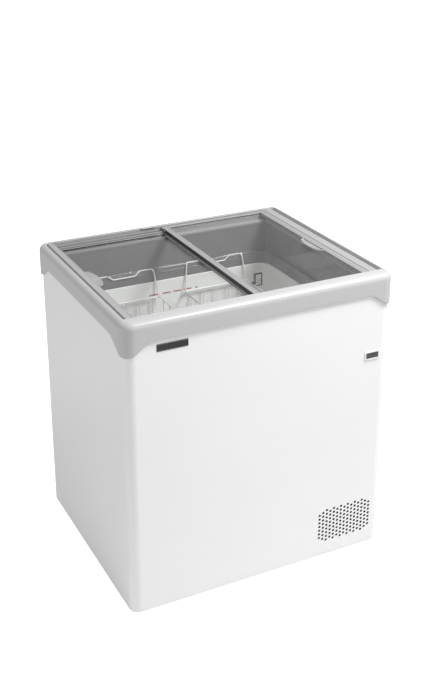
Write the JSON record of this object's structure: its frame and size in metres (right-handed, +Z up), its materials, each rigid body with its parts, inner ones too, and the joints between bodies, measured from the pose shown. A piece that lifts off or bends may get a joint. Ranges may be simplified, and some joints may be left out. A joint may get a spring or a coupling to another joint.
{
  "type": "glass-top chest freezer",
  "caption": "Small white chest freezer with flat sliding glass lids, hanging wire baskets, a grey top frame and a perforated machine-compartment grille; stands on hidden castors.",
  "frame": {"origin": "on the floor, below the middle of the cabinet's plan", "axes": "+X to the right seen from the front, -Y towards the front (the side with the grille and the display), +Z up"},
  "size_m": [0.78, 0.652, 0.845],
  "materials": {
    "white_paint": "gloss",
    "zinc_sheet": "satin",
    "zinc_hardware": "satin",
    "foam": "matte",
    "copper_tube": "satin",
    "throat_plastic": "satin",
    "frame_plastic": "satin",
    "rail_plastic": "satin",
    "lid_glass": "gloss",
    "lid_plastic": "satin",
    "grip_plastic": "satin",
    "brush_seal": "matte",
    "basket_wire": "gloss",
    "black_plastic": "satin",
    "red_label": "satin",
    "white_plastic": "satin",
    "display_dark": "gloss",
    "compressor_paint": "satin",
    "rubber": "matte",
    "aluminium_sheet": "satin",
    "castor_plastic": "satin"
  },
  "bodies": {
    "cabinet": {"cabinet_wrap": "white_paint", "back_panel": "zinc_sheet", "back_panel_screws": "zinc_hardware", "base_pan": "zinc_sheet", "castor_runners": "zinc_sheet", "foam_insulation": "foam", "inner_liner": "white_paint", "evaporator_coil": "copper_tube", "throat_frame": "throat_plastic", "top_frame": "frame_plastic", "back_rail": "rail_plastic", "front_rail": "rail_plastic", "rail_clip": "frame_plastic", "left_side_strip": "rail_plastic", "right_side_strip": "rail_plastic", "load_limit_strip": "red_label", "name_plate": "black_plastic", "display_bezel": "white_plastic", "display_window": "display_dark", "display_module": "black_plastic", "machine_bulkhead": "zinc_sheet", "compressor_shell": "compressor_paint", "compressor_feet": "rubber", "compressor_terminal_box": "black_plastic", "condenser_fins": "aluminium_sheet", "condenser_tube": "copper_tube", "fan_shroud": "black_plastic", "fan_motor": "black_plastic", "filter_drier": "copper_tube", "refrigerant_lines": "copper_tube", "thermostat_body": "black_plastic", "cord_gland": "black_plastic", "drain_tube": "white_plastic", "castor_plates": "zinc_sheet", "castor_bolts": "zinc_hardware"},
    "right_lid": {"right_lid_glass": "lid_glass", "right_lid_end_profile": "lid_plastic", "right_lid_centre_bar": "lid_plastic", "right_lid_glides": "lid_plastic", "right_lid_grip": "grip_plastic", "right_lid_brush": "brush_seal"},
    "left_lid": {"left_lid_glass": "lid_glass", "left_lid_end_profile": "lid_plastic", "left_lid_inner_profile": "lid_plastic", "left_lid_glides": "throat_plastic", "left_lid_grip": "grip_plastic"},
    "left_basket": {"left_basket": "basket_wire"},
    "right_basket": {"right_basket": "basket_wire", "basket_thermometer": "black_plastic"},
    "fan": {"fan_blades": "aluminium_sheet"},
    "thermostat_knob": {"thermostat_knob": "black_plastic"},
    "drain_plug": {"drain_plug": "rubber"},
    "castor_fork_fl": {"castor_fork_fl": "zinc_hardware"},
    "castor_wheel_fl": {"castor_wheel_fl": "castor_plastic"},
    "castor_fork_fr": {"castor_fork_fr": "zinc_hardware"},
    "castor_wheel_fr": {"castor_wheel_fr": "castor_plastic"},
    "castor_fork_bl": {"castor_fork_bl": "zinc_hardware"},
    "castor_wheel_bl": {"castor_wheel_bl": "castor_plastic"},
    "castor_fork_br": {"castor_fork_br": "zinc_hardware"},
    "castor_wheel_br": {"castor_wheel_br": "castor_plastic"}
  },
  "joints": [
    {"name": "right_lid_slide", "type": "slide", "parent": "cabinet", "child": "right_lid", "axis": [1, 0, 0], "range_m": [-0.33, 0]},
    {"name": "left_lid_slide", "type": "slide", "parent": "cabinet", "child": "left_lid", "axis": [1, 0, 0], "range_m": [0, 0.317]},
    {"name": "left_basket_lift", "type": "slide", "parent": "cabinet", "child": "left_basket", "axis": [0, 0, 1], "range_m": [0, 0.07]},
    {"name": "right_basket_lift", "type": "slide", "parent": "cabinet", "child": "right_basket", "axis": [0, 0, 1], "range_m": [0, 0.07]},
    {"name": "fan_spin", "type": "hinge", "parent": "cabinet", "child": "fan", "pos_m": [0.265, -0.254, 0.134], "axis": [0, 1, 0], "continuous": true},
    {"name": "thermostat_turn", "type": "hinge", "parent": "cabinet", "child": "thermostat_knob", "pos_m": [0.185, 0.322, 0.228], "axis": [0, 1, 0], "range_deg": [0, 270]},
    {"name": "drain_plug_pull", "type": "slide", "parent": "cabinet", "child": "drain_plug", "axis": [0, 0, 1], "range_m": [0, 0.03]},
    {"name": "castor_swivel_fl", "type": "hinge", "parent": "cabinet", "child": "castor_fork_fl", "pos_m": [-0.322, -0.258, 0.04], "axis": [0, 0, 1], "continuous": true},
    {"name": "castor_roll_fl", "type": "hinge", "parent": "castor_fork_fl", "child": "castor_wheel_fl", "pos_m": [-0.311, -0.258, 0.016], "axis": [0, 1, 0], "continuous": true},
    {"name": "castor_swivel_fr", "type": "hinge", "parent": "cabinet", "child": "castor_fork_fr", "pos_m": [0.322, -0.258, 0.04], "axis": [0, 0, 1], "continuous": true},
    {"name": "castor_roll_fr", "type": "hinge", "parent": "castor_fork_fr", "child": "castor_wheel_fr", "pos_m": [0.333, -0.258, 0.016], "axis": [0, 1, 0], "continuous": true},
    {"name": "castor_swivel_bl", "type": "hinge", "parent": "cabinet", "child": "castor_fork_bl", "pos_m": [-0.322, 0.258, 0.04], "axis": [0, 0, 1], "continuous": true},
    {"name": "castor_roll_bl", "type": "hinge", "parent": "castor_fork_bl", "child": "castor_wheel_bl", "pos_m": [-0.311, 0.258, 0.016], "axis": [0, 1, 0], "continuous": true},
    {"name": "castor_swivel_br", "type": "hinge", "parent": "cabinet", "child": "castor_fork_br", "pos_m": [0.322, 0.258, 0.04], "axis": [0, 0, 1], "continuous": true},
    {"name": "castor_roll_br", "type": "hinge", "parent": "castor_fork_br", "child": "castor_wheel_br", "pos_m": [0.333, 0.258, 0.016], "axis": [0, 1, 0], "continuous": true}
  ]
}
